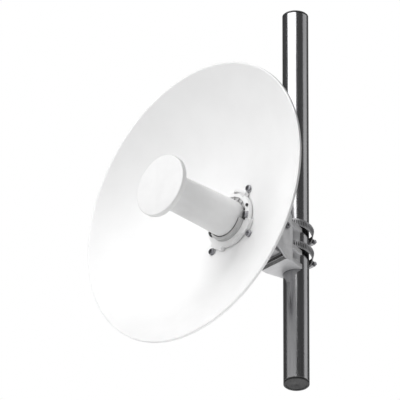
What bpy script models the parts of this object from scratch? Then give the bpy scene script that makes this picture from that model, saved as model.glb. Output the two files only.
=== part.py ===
"""Wireless bridge dish antenna on a mast: reflector, feed, rear radio, tilt bracket, mast bracket, clamps.

Metres, +Z up. The mast's axis is X = Y = 0 and its foot is at Z = 0. The dish looks along -Y.
"""

import math

import bmesh
import bpy

for old in list(bpy.data.objects):
    bpy.data.objects.remove(old)

GAP = 0.0003

# Mast, a 1 1/4 inch pipe
MAST_RADIUS = 0.0212
MAST_BORE = 0.0186
MAST_LENGTH = 0.690
PLUG_HEAD = 0.003
PLUG_SPIGOT = 0.017
PLUG_CHAMFER = 0.0006
AXIS_HEIGHT = 0.245

# Reflector
DISH_RADIUS = 0.242
DISH_FOCUS = 0.1545
DISH_SHEET = 0.0015
DISH_LIP = 0.0035
DISH_SKIRT = 0.0045
DISH_HOLE = 0.0345
DISH_EDGE_RISE = 0.0006
DISH_EDGE_ROUND = 0.0008
VERTEX_Y = -0.1435
DISH_STEPS = 64
DISH_BANDS = 10

# Four screws that hold the reflector to the tilt bracket
SCREW_CIRCLE = 0.0595
SCREW_TURNS = [math.radians(45 + 90 * index) for index in range(4)]
SCREW_RADIUS = 0.003
SCREW_HOLE = SCREW_RADIUS + GAP
SCREW_HEAD_RADIUS = 0.0052
SCREW_HEAD_HEIGHT = 0.0033
SCREW_HEAD_ROUND = 0.0016
SCREW_SOCKET = 0.0024
SCREW_SOCKET_DEPTH = 0.0018
SCREW_POINT = 0.003
DISH_SCREW_HOLE = 0.0034
WASHER_RADIUS = 0.0064
WASHER_TOP = 0.0073
WASHER_BOTTOM = 0.0035
NUT_ACROSS_CORNERS = 0.0115
NUT_HEIGHT = 0.005

# Hub in front of the reflector
FLANGE_RADIUS = 0.0475
FLANGE_LUG_RADIUS = 0.053
FLANGE_LUG_TURNS = [math.radians(55 + 90 * index) for index in range(4)]
FLANGE_LUG_HALF = math.radians(15)
FLANGE_LUG_FOOT = math.radians(17.25)
FLANGE_BACK = 0.0049
FLANGE_FRONT = 0.0125
RING_RADIUS = 0.0395
RING_BORE = 0.0330
RING_FRONT = 0.0195
RING_ROUND = 0.0015
LATCH_HALF = (0.0035, 0.0055, 0.0035)
LATCH_REACH = 0.044
LATCH_TURN = math.radians(-15)
LATCH_SCREW_RADIUS = 0.0026
LATCH_SCREW_HEIGHT = 0.002
LATCH_SCREW_REACH = 0.0445
LATCH_SCREW_TURN = math.radians(11)

# Feed tube and its cap, heights in front of the reflector's lowest point
TUBE_RADIUS_HUB = 0.0322
TUBE_RADIUS_CAP = 0.0292
TUBE_FRONT = 0.1590
TUBE_ROUND = 0.0015
CAP_RADIUS = 0.0526
CAP_BACK = TUBE_FRONT + GAP
CAP_FRONT = 0.1685
CAP_ROUND = 0.0012

# Radio behind the reflector
RADIO_RADIUS = 0.030
RADIO_SPIGOT = 0.0312
RADIO_FLANGE_RADIUS = 0.0385
RADIO_FLANGE = 0.0035
RADIO_DRAFT = 0.001
RADIO_BACK = 0.0365
COVER_RADIUS = 0.029
COVER_BACK = 0.0405
COVER_ROUND = 0.002
PORT_Y = -0.118
PORT_RADIUS = 0.0095
PORT_ROOT = 0.024
PORT_END = 0.042
GLAND_RADIUS = 0.0115
GLAND_NUT = 0.008
GLAND_SHOULDER = 0.011
GLAND_BORE_TOP = 0.004
GLAND_END = 0.058
GLAND_BORE = 0.0045
GLAND_LIP = 0.002
EARTH_RADIUS = 0.0035
EARTH_HEIGHT = 0.003
EARTH_REACH = 0.0320
EARTH_Y = -0.115

# Tilt bracket, heights from the dish axis
PLATE_RADIUS = 0.067
PLATE_FRONT_Y = -0.1415
PLATE_BACK_Y = -0.1370
PLATE_BORE = 0.0345
PAD_RADIUS = 0.0085
PAD_FRONT_Y = -0.1495
PAD_BACK_Y = -0.1395
OVERLAP = 0.002
YOKE_HALF_WIDTH = 0.044
YOKE_WALL = 0.004
YOKE_BACK_Y = -0.093
YOKE_TOP = 0.034
YOKE_BOTTOM = -0.030
EAR_INNER = 0.0165
EAR_OUTER = 0.0205
EAR_BOSS_RADIUS = 0.009
EAR_END_RADIUS = 0.0104
EAR_KNEE = (-0.066, -0.022)
TIE_BACK_Y = -0.068
TIE_LOW = -0.027
TIE_HIGH = -0.023

# Tilt joint
PIVOT_Y = -0.051
PIVOT_RISE = 0.019
PIVOT_RADIUS = 0.003
LOCK_REACH = 0.026
LOCK_ANGLE = math.radians(213)
TILT_LIMIT = math.radians(15)
SLOT_MARGIN = math.radians(2)
BOLT_HEAD_RADIUS = 0.0055
BOLT_HEAD_HEIGHT = 0.0035
BOLT_HEAD_ROUND = 0.0007

# Mast bracket, a casting with cheeks, jaws and a saddle that fits the mast
CHEEK_INNER = 0.0255
CHEEK_OUTER = 0.0290
CHEEK_BACK_Y = -0.038
SADDLE_BORE = MAST_RADIUS + 0.0004
SADDLE_RADIUS = 0.0244
SADDLE_BOTTOM = -0.042
SADDLE_TOP = 0.0336
WEB_FRONT_Y = -0.0355
WEB_BACK_Y = -0.0320
WEB_HALF = 0.0245
JAW_PLATE_Y = -0.050
JAW_FRONT_Y = -0.044
JAWS = ((-0.042, -0.034), (-0.0165, -0.0082), (0.0262, 0.0336))
JAW_NOSE = ((0.0222, -0.0085), (CHEEK_OUTER, CHEEK_BACK_Y - 0.001))
JAW_TIP_Y = -0.0105
CHEEK_OUTLINE = (
    (CHEEK_BACK_Y, -0.0415),
    (CHEEK_BACK_Y, 0.042),
    (-0.049, 0.058),
    (-0.062, 0.058),
    (-0.082, 0.040),
    (-0.083, -0.008),
    (-0.076, -0.020),
    (-0.0495, -0.0415),
)
WEB_MARGIN = 0.001
LIP_HALF = 0.028
LIP_FRONT_Y = -0.0500
LIP_BACK_Y = -0.0475
LIP_LOW = -0.041
LIP_HIGH = -0.029

# Two worm drive clamps
BAND_RADIUS = 0.0274
BAND_SHEET = 0.0012
BAND_WIDTH = 0.014
BAND_CENTRE_Y = 0.0005
BAND_TILT = math.radians(12)
BAND_HEIGHTS = {"upper": 0.038, "lower": -0.003}
HOUSING_SIZE = (0.017, 0.0085, 0.0165)
HOUSING_CHAMFER = 0.0034
WORM_RADIUS = 0.0032
WORM_TAIL = 0.004
WORM_HEAD_RADIUS = 0.0045
WORM_HEAD_HEIGHT = 0.005
WORM_ROUND = 0.0005

FACE_FORWARD = (math.pi / 2, 0, 0)
ALONG_X = (0, math.pi / 2, 0)
ON_SIDE = (math.pi / 2, 0, math.pi / 2)
VERTEX = (0, VERTEX_Y, AXIS_HEIGHT)

ANTENNA = bpy.data.collections.new("wireless_bridge_antenna")
CUTTERS = bpy.data.collections.new("cutters")
for group in (ANTENNA, CUTTERS):
    bpy.context.scene.collection.children.link(group)
CUTTERS.hide_render = True


def finish(name, colour, roughness, metallic):
    """A material of one colour, roughness and metallic value."""
    made = bpy.data.materials.new(name)
    made.use_nodes = True
    shader = made.node_tree.nodes["Principled BSDF"]
    shader.inputs["Base Color"].default_value = (*colour, 1)
    shader.inputs["Roughness"].default_value = roughness
    shader.inputs["Metallic"].default_value = metallic
    return made


DARK_STEEL = finish("dark_steel", (0.16, 0.16, 0.17), 0.25, 1.0)
BLACK_PLASTIC = finish("black_plastic", (0.03, 0.03, 0.03), 0.5, 0.0)
WHITE_COAT = finish("white_coat", (0.88, 0.88, 0.88), 0.4, 0.0)
WHITE_PLASTIC = finish("white_plastic", (0.84, 0.84, 0.84), 0.45, 0.0)
CAST_METAL = finish("cast_metal", (0.62, 0.62, 0.63), 0.45, 1.0)
BRIGHT_STEEL = finish("bright_steel", (0.55, 0.55, 0.57), 0.25, 1.0)


def add(name, data, look=None):
    """Links a new object: a piece when it has a look, a hidden cutter or filler when not."""
    made = bpy.data.objects.new(name, data)
    if look is None:
        CUTTERS.objects.link(made)
        made.hide_render = True
        made.display_type = "WIRE"
    else:
        ANTENNA.objects.link(made)
        data.materials.append(look)
    return made


def placed(made, location=(0, 0, 0), rotation=(0, 0, 0)):
    made.location = location
    made.rotation_euler = rotation
    return made


def turned(name, profile, look=None, closed=False, steps=32):
    """Points of (radius, height), outer side running down, turned about the local Z axis."""
    mesh = bpy.data.meshes.new(name)
    edges = [(index, index + 1) for index in range(len(profile) - 1)]
    if closed:
        edges.append((len(profile) - 1, 0))
    mesh.from_pydata([(radius, 0, height) for radius, height in profile], edges, [])
    made = add(name, mesh, look)
    turn = made.modifiers.new("turn", "SCREW")
    turn.steps = turn.render_steps = steps
    turn.use_merge_vertices = True
    turn.merge_threshold = 0.00005
    return made


def block(name, low, high, look=None):
    """A box between two corners, with its object at the middle."""
    mesh = bpy.data.meshes.new(name)
    shape = bmesh.new()
    bmesh.ops.create_cube(shape, size=1)
    sides = [top - bottom for bottom, top in zip(low, high)]
    bmesh.ops.scale(shape, vec=sides, verts=shape.verts)
    shape.to_mesh(mesh)
    shape.free()
    middle = [(bottom + top) / 2 for bottom, top in zip(low, high)]
    return placed(add(name, mesh, look), middle)


def rod(name, radius, length, centre, rotation=(0, 0, 0), look=None, sides=24):
    """A cylinder about its middle, along local Z."""
    mesh = bpy.data.meshes.new(name)
    shape = bmesh.new()
    bmesh.ops.create_cone(
        shape, cap_ends=True, segments=sides, radius1=radius, radius2=radius, depth=length
    )
    shape.to_mesh(mesh)
    shape.free()
    return placed(add(name, mesh, look), centre, rotation)


def extruded(name, outlines, thickness, look=None):
    """Closed outlines, those inside another being holes, filled and thickened about their plane."""
    curve = bpy.data.curves.new(name, "CURVE")
    curve.dimensions = "2D"
    curve.fill_mode = "BOTH"
    curve.extrude = thickness / 2
    for outline in outlines:
        spline = curve.splines.new("POLY")
        spline.points.add(len(outline) - 1)
        for point, (across, up) in zip(spline.points, outline):
            point.co = (across, up, 0, 1)
        spline.use_cyclic_u = True
    guide = add(name + "_outline", curve)
    bpy.context.view_layer.update()
    graph = bpy.context.evaluated_depsgraph_get()
    mesh = bpy.data.meshes.new_from_object(guide.evaluated_get(graph))
    mesh.name = name
    bpy.data.objects.remove(guide)
    shape = bmesh.new()
    shape.from_mesh(mesh)
    bmesh.ops.remove_doubles(shape, verts=shape.verts, dist=0.00001)
    bmesh.ops.recalc_face_normals(shape, faces=shape.faces)
    shape.to_mesh(mesh)
    shape.free()
    mesh.materials.clear()
    return add(name, mesh, look)


def arc(centre, radius, start, end, count):
    """Points on an arc, both ends included, angles in radians."""
    turns = [start + (end - start) * index / (count - 1) for index in range(count)]
    return [(centre[0] + radius * math.cos(turn), centre[1] + radius * math.sin(turn)) for turn in turns]


def ring_points(radius, count, phase=0.0):
    return arc((0, 0), radius, phase, phase + 2 * math.pi * (count - 1) / count, count)


def boolean(target, operation, others):
    for other in others:
        step = target.modifiers.new(operation.lower() + "_" + other.name, "BOOLEAN")
        step.operation = operation
        step.object = other
        step.solver = "EXACT"


def join(target, *others):
    boolean(target, "UNION", others)


def cut(target, *others):
    boolean(target, "DIFFERENCE", others)


def axis(name, location, carrier=None):
    """An empty on a joint's axis."""
    made = bpy.data.objects.new(name, None)
    ANTENNA.objects.link(made)
    made.location = location
    if carrier:
        carried(carrier, made)
    return made


def carried(carrier, *pieces):
    """Parents pieces to an axis where they stand."""
    bpy.context.view_layer.update()
    for piece in pieces:
        piece.parent = carrier
        piece.matrix_parent_inverse = carrier.matrix_world.inverted()


def dish_height(radius):
    return radius * radius / (4 * DISH_FOCUS)


SWIVEL_AXIS = axis("swivel_axis", (0, 0, AXIS_HEIGHT))
PIVOT = (0, PIVOT_Y, AXIS_HEIGHT + PIVOT_RISE)
TILT_AXIS = axis("tilt_axis", PIVOT, SWIVEL_AXIS)


# Mast: a pipe closed by a plug at its foot and a cap at its top
def make_mast():
    bottom = PLUG_HEAD + GAP
    top = MAST_LENGTH - PLUG_HEAD - GAP
    pipe = [(MAST_BORE, top), (MAST_RADIUS, top), (MAST_RADIUS, bottom), (MAST_BORE, bottom)]
    turned("mast_tube", pipe, DARK_STEEL, closed=True, steps=48)
    spigot = MAST_BORE - GAP
    foot = [
        (0, PLUG_HEAD + PLUG_SPIGOT),
        (spigot, PLUG_HEAD + PLUG_SPIGOT),
        (spigot, PLUG_HEAD),
        (MAST_RADIUS, PLUG_HEAD),
        (MAST_RADIUS, PLUG_CHAMFER),
        (MAST_RADIUS - PLUG_CHAMFER, 0),
        (0, 0),
    ]
    turned("mast_foot_plug", foot, BLACK_PLASTIC, steps=48)
    cap = [(radius, MAST_LENGTH - height) for radius, height in reversed(foot)]
    turned("mast_top_cap", cap, BLACK_PLASTIC, steps=48)


# Reflector: a pressed paraboloid with a rolled edge, a hole at its middle and four screw holes
def screw_places():
    """The four screw centres, as offsets across and up from the dish axis."""
    return [(SCREW_CIRCLE * math.cos(turn), SCREW_CIRCLE * math.sin(turn)) for turn in SCREW_TURNS]


def make_reflector():
    bowl_edge = DISH_RADIUS - DISH_LIP
    step = (bowl_edge - DISH_HOLE) / DISH_BANDS
    radii = [DISH_HOLE + step * index for index in range(DISH_BANDS + 1)]
    front = [(radius, dish_height(radius)) for radius in radii]
    lip = dish_height(bowl_edge) + DISH_EDGE_RISE
    inner_edge = DISH_RADIUS - DISH_SHEET
    corner = DISH_EDGE_ROUND / 2
    edge = [
        (bowl_edge + DISH_EDGE_ROUND, lip),
        (DISH_RADIUS - DISH_EDGE_ROUND, lip),
        (DISH_RADIUS, lip - DISH_EDGE_ROUND),
        (DISH_RADIUS, lip - DISH_SKIRT),
        (inner_edge, lip - DISH_SKIRT),
        (inner_edge, lip - DISH_SHEET - corner),
    ]
    back = []
    for radius in reversed(radii):
        lean = math.atan(radius / (2 * DISH_FOCUS))
        back.append(
            (radius + DISH_SHEET * math.sin(lean), dish_height(radius) - DISH_SHEET * math.cos(lean))
        )
    back[0] = (bowl_edge + corner, dish_height(bowl_edge) - DISH_SHEET * 1.1)
    back[-1] = (DISH_HOLE, back[-1][1])
    dish = turned("dish_reflector", front + edge + back, WHITE_COAT, closed=True, steps=DISH_STEPS)
    placed(dish, VERTEX, FACE_FORWARD)
    for number, (across, up) in enumerate(screw_places(), 1):
        place = (across, VERTEX_Y - dish_height(SCREW_CIRCLE), AXIS_HEIGHT + up)
        cut(dish, rod(f"reflector_hole_{number}", DISH_SCREW_HOLE, 0.02, place, FACE_FORWARD, sides=16))
    carried(TILT_AXIS, dish)


def under_bowl(name, shift, low):
    """A cutter from height low up to the reflector's own curve, moved by shift."""
    profile = bowl_curve(shift)
    profile += [(profile[-1][0], low), (0, low)]
    return placed(turned(name, profile, steps=DISH_STEPS), VERTEX, FACE_FORWARD)


def over_bowl(name, shift, high):
    """A cutter from the reflector's own curve, moved by shift, up to height high."""
    profile = bowl_curve(shift)[::-1]
    profile = [(0, high), (profile[0][0], high)] + profile
    return placed(turned(name, profile, steps=DISH_STEPS), VERTEX, FACE_FORWARD)


def bowl_curve(shift):
    radii = [0.01 * index for index in range(10)]
    return [(radius, dish_height(radius) + shift) for radius in radii]


# Screws, wedge washers and nuts at the four corners of the hub
def make_screws():
    bowl = under_bowl("washer_seat", GAP + 0.0001, -0.02)
    head_bottom = WASHER_TOP + GAP
    head_top = head_bottom + SCREW_HEAD_HEIGHT
    nut_front = VERTEX_Y - PLATE_BACK_Y - GAP
    nut_middle_y = PLATE_BACK_Y + GAP + NUT_HEIGHT / 2
    screw = [
        (0, head_top - SCREW_SOCKET_DEPTH),
        (SCREW_SOCKET, head_top - SCREW_SOCKET_DEPTH),
        (SCREW_SOCKET, head_top),
        (SCREW_HEAD_RADIUS - SCREW_HEAD_ROUND, head_top),
        (SCREW_HEAD_RADIUS, head_top - SCREW_HEAD_ROUND),
        (SCREW_HEAD_RADIUS, head_bottom),
        (SCREW_RADIUS, head_bottom),
        (SCREW_RADIUS, nut_front - NUT_HEIGHT - SCREW_POINT),
        (0, nut_front - NUT_HEIGHT - SCREW_POINT),
    ]
    washer = [
        (SCREW_HOLE, WASHER_TOP),
        (WASHER_RADIUS, WASHER_TOP),
        (WASHER_RADIUS, WASHER_BOTTOM),
        (SCREW_HOLE, WASHER_BOTTOM),
    ]
    for number, (across, up) in enumerate(screw_places(), 1):
        spot = (across, VERTEX_Y, AXIS_HEIGHT + up)
        bolt = turned(f"dish_screw_{number}", screw, BRIGHT_STEEL, steps=18)
        collar = turned(f"dish_washer_{number}", washer, BRIGHT_STEEL, closed=True, steps=20)
        for piece in (bolt, collar):
            placed(piece, spot, FACE_FORWARD)
        cut(collar, bowl)
        outlines = [ring_points(NUT_ACROSS_CORNERS / 2, 6), ring_points(SCREW_HOLE, 12)]
        nut = extruded(f"dish_nut_{number}", outlines, NUT_HEIGHT, BRIGHT_STEEL)
        placed(nut, (across, nut_middle_y, AXIS_HEIGHT + up), FACE_FORWARD)
        carried(TILT_AXIS, bolt, collar, nut)


# Hub: a flange with lugs on the reflector, a collar round the feed tube, and a side latch
def flange_outline():
    outline = []
    for turn in FLANGE_LUG_TURNS:
        outline += arc((0, 0), FLANGE_LUG_RADIUS, turn - FLANGE_LUG_HALF, turn + FLANGE_LUG_HALF, 5)
        next_lug = turn + math.pi / 2
        outline += arc((0, 0), FLANGE_RADIUS, turn + FLANGE_LUG_FOOT, next_lug - FLANGE_LUG_FOOT, 9)
    return outline


def on_flange(reach, turn, height):
    """A place on the flange's front face: how far out, at what angle, and how far in front of the face."""
    face = VERTEX_Y - FLANGE_FRONT - GAP
    return (reach * math.cos(turn), face - height, AXIS_HEIGHT + reach * math.sin(turn))


def make_hub():
    outlines = [flange_outline(), ring_points(RING_BORE, 40)]
    flange = extruded("hub_flange", outlines, FLANGE_FRONT - FLANGE_BACK, WHITE_PLASTIC)
    placed(flange, (0, VERTEX_Y - (FLANGE_FRONT + FLANGE_BACK) / 2, AXIS_HEIGHT), FACE_FORWARD)
    bottom = FLANGE_FRONT + GAP
    collar = [
        (RING_BORE, RING_FRONT - RING_ROUND),
        (RING_BORE + RING_ROUND, RING_FRONT),
        (RING_RADIUS - RING_ROUND, RING_FRONT),
        (RING_RADIUS, RING_FRONT - RING_ROUND),
        (RING_RADIUS, bottom),
        (RING_BORE, bottom),
    ]
    ring = turned("hub_ring", collar, WHITE_PLASTIC, closed=True, steps=48)
    placed(ring, VERTEX, FACE_FORWARD)
    latch = block("hub_latch", [-half for half in LATCH_HALF], LATCH_HALF, BLACK_PLASTIC)
    placed(latch, on_flange(LATCH_REACH, LATCH_TURN, LATCH_HALF[2]), (math.pi / 2, -LATCH_TURN, 0))
    head = rod(
        "hub_latch_screw",
        LATCH_SCREW_RADIUS,
        LATCH_SCREW_HEIGHT,
        on_flange(LATCH_SCREW_REACH, LATCH_SCREW_TURN, LATCH_SCREW_HEIGHT / 2),
        FACE_FORWARD,
        BLACK_PLASTIC,
        sides=16,
    )
    carried(TILT_AXIS, flange, ring, latch, head)


# Feed tube: a tapered moulding from the hub to the cap that faces the dish
def make_feed():
    tube = [
        (0, TUBE_FRONT),
        (TUBE_RADIUS_CAP - TUBE_ROUND, TUBE_FRONT),
        (TUBE_RADIUS_CAP, TUBE_FRONT - TUBE_ROUND),
        (TUBE_RADIUS_HUB, RING_FRONT),
        (TUBE_RADIUS_HUB, TUBE_ROUND),
        (TUBE_RADIUS_HUB - TUBE_ROUND, 0),
        (0, 0),
    ]
    body = placed(turned("feed_tube", tube, WHITE_PLASTIC, steps=48), VERTEX, FACE_FORWARD)
    cap = [
        (0, CAP_FRONT),
        (CAP_RADIUS - 2.5 * CAP_ROUND, CAP_FRONT),
        (CAP_RADIUS - CAP_ROUND, CAP_FRONT - CAP_ROUND / 2),
        (CAP_RADIUS, CAP_FRONT - 2 * CAP_ROUND),
        (CAP_RADIUS, CAP_BACK + CAP_ROUND),
        (CAP_RADIUS - CAP_ROUND, CAP_BACK),
        (0, CAP_BACK),
    ]
    disc = placed(turned("feed_cap", cap, WHITE_PLASTIC, steps=56), VERTEX, FACE_FORWARD)
    carried(TILT_AXIS, body, disc)


# Radio: the housing behind the reflector, its cover, the cable port, the gland and the earth screw
def make_radio():
    seat = PLATE_BACK_Y - VERTEX_Y + GAP
    shell = [
        (0, -GAP),
        (RADIO_SPIGOT, -GAP),
        (RADIO_SPIGOT, -seat),
        (RADIO_FLANGE_RADIUS, -seat),
        (RADIO_FLANGE_RADIUS, -seat - RADIO_FLANGE),
        (RADIO_RADIUS + RADIO_DRAFT, -seat - RADIO_FLANGE),
        (RADIO_RADIUS, -RADIO_BACK),
        (0, -RADIO_BACK),
    ]
    housing = placed(turned("radio_housing", shell, WHITE_PLASTIC, steps=40), VERTEX, FACE_FORWARD)
    port_middle = AXIS_HEIGHT - (PORT_ROOT + PORT_END) / 2
    stub = rod("port_stub", PORT_RADIUS, PORT_END - PORT_ROOT, (0, PORT_Y, port_middle), sides=28)
    join(housing, stub)
    lid = [
        (0, -RADIO_BACK - GAP),
        (COVER_RADIUS, -RADIO_BACK - GAP),
        (COVER_RADIUS, -COVER_BACK + COVER_ROUND),
        (COVER_RADIUS - COVER_ROUND, -COVER_BACK),
        (0, -COVER_BACK),
    ]
    cover = placed(turned("radio_rear_cover", lid, WHITE_PLASTIC, steps=40), VERTEX, FACE_FORWARD)
    top = -PORT_END - GAP
    gland = [
        (0, top),
        (GLAND_RADIUS, top),
        (GLAND_RADIUS, top - GLAND_NUT),
        ((GLAND_RADIUS + GLAND_BORE + GLAND_LIP) / 2, top - GLAND_SHOULDER),
        (GLAND_BORE + GLAND_LIP, -GLAND_END),
        (GLAND_BORE, -GLAND_END),
        (GLAND_BORE, top - GLAND_BORE_TOP),
        (0, top - GLAND_BORE_TOP),
    ]
    nut = placed(turned("cable_gland", gland, BLACK_PLASTIC, steps=28), (0, PORT_Y, AXIS_HEIGHT))
    place = (-EARTH_REACH, EARTH_Y, AXIS_HEIGHT)
    earth = rod("earth_screw", EARTH_RADIUS, EARTH_HEIGHT, place, ALONG_X, BRIGHT_STEEL, sides=16)
    carried(TILT_AXIS, housing, cover, nut, earth)


# Tilt bracket: a round plate behind the reflector, a yoke round the radio, and two ears on the pivot
def make_tilt_bracket():
    bowl = over_bowl("pad_seat", -DISH_SHEET - GAP - 0.0001, 0.03)
    front = VERTEX_Y - PLATE_FRONT_Y
    back = VERTEX_Y - PLATE_BACK_Y
    plate = [(PLATE_BORE, front), (PLATE_RADIUS, front), (PLATE_RADIUS, back), (PLATE_BORE, back)]
    bracket = turned("tilt_bracket", plate, CAST_METAL, closed=True, steps=40)
    placed(bracket, VERTEX, FACE_FORWARD)
    for number, (across, up) in enumerate(screw_places(), 1):
        place = (across, (PAD_FRONT_Y + PAD_BACK_Y) / 2, AXIS_HEIGHT + up)
        pad = rod(f"pad_{number}", PAD_RADIUS, PAD_BACK_Y - PAD_FRONT_Y, place, FACE_FORWARD, sides=20)
        join(bracket, pad)
    half, inner = YOKE_HALF_WIDTH, YOKE_HALF_WIDTH - YOKE_WALL
    start = PLATE_BACK_Y - OVERLAP
    hat = [
        (-half, start),
        (-half, YOKE_BACK_Y),
        (half, YOKE_BACK_Y),
        (half, start),
        (inner, start),
        (inner, YOKE_BACK_Y - YOKE_WALL),
        (-inner, YOKE_BACK_Y - YOKE_WALL),
        (-inner, start),
    ]
    yoke = extruded("yoke", [hat], YOKE_TOP - YOKE_BOTTOM)
    placed(yoke, (0, 0, AXIS_HEIGHT + (YOKE_TOP + YOKE_BOTTOM) / 2))
    join(bracket, yoke)
    root = YOKE_BACK_Y - OVERLAP
    ear = [(root, YOKE_BOTTOM + OVERLAP), EAR_KNEE]
    ear += arc((PIVOT_Y, PIVOT_RISE), EAR_END_RADIUS, math.radians(-45), math.radians(105), 9)
    ear += [(root, YOKE_TOP - OVERLAP)]
    ear_middle = (EAR_INNER + EAR_OUTER) / 2
    for side, sign in (("left", -1), ("right", 1)):
        plate = extruded(f"ear_{side}", [ear], EAR_OUTER - EAR_INNER)
        placed(plate, (sign * ear_middle, 0, AXIS_HEIGHT), ON_SIDE)
        boss_end = CHEEK_INNER - GAP
        boss_start = EAR_INNER + OVERLAP / 2
        place = (sign * (boss_start + boss_end) / 2, PIVOT_Y, PIVOT[2])
        boss = rod(f"ear_boss_{side}", EAR_BOSS_RADIUS, boss_end - boss_start, place, ALONG_X)
        join(bracket, plate, boss)
    tie_half = EAR_INNER + OVERLAP / 2
    low, high = AXIS_HEIGHT + TIE_LOW, AXIS_HEIGHT + TIE_HIGH
    join(bracket, block("ear_tie", (-tie_half, root, low), (tie_half, TIE_BACK_Y, high)))
    for number, (across, up) in enumerate(screw_places(), 1):
        place = (across, PLATE_BACK_Y, AXIS_HEIGHT + up)
        cut(bracket, rod(f"plate_hole_{number}", SCREW_HOLE, 0.05, place, FACE_FORWARD, sides=16))
    cut(bracket, bowl)
    cut(bracket, rod("pivot_hole", PIVOT_RADIUS + GAP, 0.08, PIVOT, ALONG_X, sides=20))
    low, high = LOCK_ANGLE - TILT_LIMIT - SLOT_MARGIN, LOCK_ANGLE + TILT_LIMIT + SLOT_MARGIN
    slot_half = PIVOT_RADIUS + GAP
    slot = arc((0, 0), LOCK_REACH + slot_half, low, high, 9)
    slot += arc((0, 0), LOCK_REACH - slot_half, high, low, 9)
    cutter = extruded("lock_slot", [slot], 0.08)
    placed(cutter, (0, PIVOT_Y, PIVOT[2]), ON_SIDE)
    cut(bracket, cutter)
    for name, turn in (("low", low), ("high", high)):
        end = (0, PIVOT_Y + LOCK_REACH * math.cos(turn), PIVOT[2] + LOCK_REACH * math.sin(turn))
        cut(bracket, rod(f"slot_end_{name}", slot_half, 0.081, end, ALONG_X, sides=20))
    carried(TILT_AXIS, bracket)


# Mast bracket: two cheeks, three jaws, a saddle against the mast and a cross web
def make_mast_bracket():
    height = SADDLE_TOP - SADDLE_BOTTOM
    bore_side = math.sqrt(SADDLE_BORE ** 2 - JAW_TIP_Y ** 2)
    saddle = arc((0, 0), SADDLE_RADIUS, math.radians(210), math.radians(330), 17)
    saddle += arc((0, 0), SADDLE_BORE, math.radians(330), math.radians(210), 17)
    bracket = extruded("mast_bracket", [saddle], height, CAST_METAL)
    placed(bracket, (0, 0, AXIS_HEIGHT + (SADDLE_TOP + SADDLE_BOTTOM) / 2))
    start = math.atan2(JAW_TIP_Y, bore_side)
    for number, (low, high) in enumerate(JAWS, 1):
        front = JAW_PLATE_Y if number == 1 else JAW_FRONT_Y
        jaw = [(-across, back) for across, back in JAW_NOSE] + [(-CHEEK_OUTER, front)]
        if number > 1:
            jaw += [(-WEB_HALF, front), (-WEB_HALF, WEB_FRONT_Y), (WEB_HALF, WEB_FRONT_Y), (WEB_HALF, front)]
        jaw += [(CHEEK_OUTER, front), *JAW_NOSE[::-1]]
        jaw += arc((0, 0), SADDLE_BORE + 0.0002, start, -math.pi - start, 19)
        plate = extruded(f"jaw_{number}", [jaw], high - low)
        placed(plate, (0, 0, AXIS_HEIGHT + (low + high) / 2))
        join(bracket, plate)
    low, high = AXIS_HEIGHT + SADDLE_BOTTOM + WEB_MARGIN, AXIS_HEIGHT + SADDLE_TOP - WEB_MARGIN
    join(bracket, block("web", (-WEB_HALF, WEB_FRONT_Y, low), (WEB_HALF, WEB_BACK_Y, high)))
    cheek_middle = (CHEEK_INNER + CHEEK_OUTER) / 2
    for side, sign in (("left", -1), ("right", 1)):
        plate = extruded(f"cheek_{side}", [CHEEK_OUTLINE], CHEEK_OUTER - CHEEK_INNER)
        placed(plate, (sign * cheek_middle, 0, AXIS_HEIGHT), ON_SIDE)
        join(bracket, plate)
    low, high = AXIS_HEIGHT + LIP_LOW, AXIS_HEIGHT + LIP_HIGH
    join(bracket, block("front_lip", (-LIP_HALF, LIP_FRONT_Y, low), (LIP_HALF, LIP_BACK_Y, high)))
    cut(bracket, rod("cheek_pivot_hole", PIVOT_RADIUS + GAP, 0.08, PIVOT, ALONG_X, sides=20))
    cut(bracket, rod("cheek_lock_hole", PIVOT_RADIUS + GAP, 0.08, lock_place(), ALONG_X, sides=20))
    carried(SWIVEL_AXIS, bracket)


def lock_place():
    return (0, PIVOT_Y + LOCK_REACH * math.cos(LOCK_ANGLE), PIVOT[2] + LOCK_REACH * math.sin(LOCK_ANGLE))


# Through bolts of the tilt joint, each with its head on the right and its nut on the left
def make_tilt_bolts():
    right = CHEEK_OUTER + GAP
    left = -right
    head = right + BOLT_HEAD_HEIGHT
    point = left - NUT_HEIGHT - SCREW_POINT
    bolt = [
        (0, head),
        (BOLT_HEAD_RADIUS - BOLT_HEAD_ROUND, head),
        (BOLT_HEAD_RADIUS, head - BOLT_HEAD_ROUND),
        (BOLT_HEAD_RADIUS, right),
        (PIVOT_RADIUS, right),
        (PIVOT_RADIUS, point),
        (0, point),
    ]
    for name, centre in (("pivot", PIVOT), ("tilt_lock", lock_place())):
        screw = turned(f"{name}_bolt", bolt, BRIGHT_STEEL, steps=20)
        placed(screw, (0, centre[1], centre[2]), ALONG_X)
        outlines = [ring_points(NUT_ACROSS_CORNERS / 2, 6), ring_points(PIVOT_RADIUS + GAP, 12)]
        nut = extruded(f"{name}_nut", outlines, NUT_HEIGHT, BRIGHT_STEEL)
        placed(nut, (left - NUT_HEIGHT / 2, centre[1], centre[2]), ALONG_X)
        carried(SWIVEL_AXIS, screw, nut)


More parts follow.
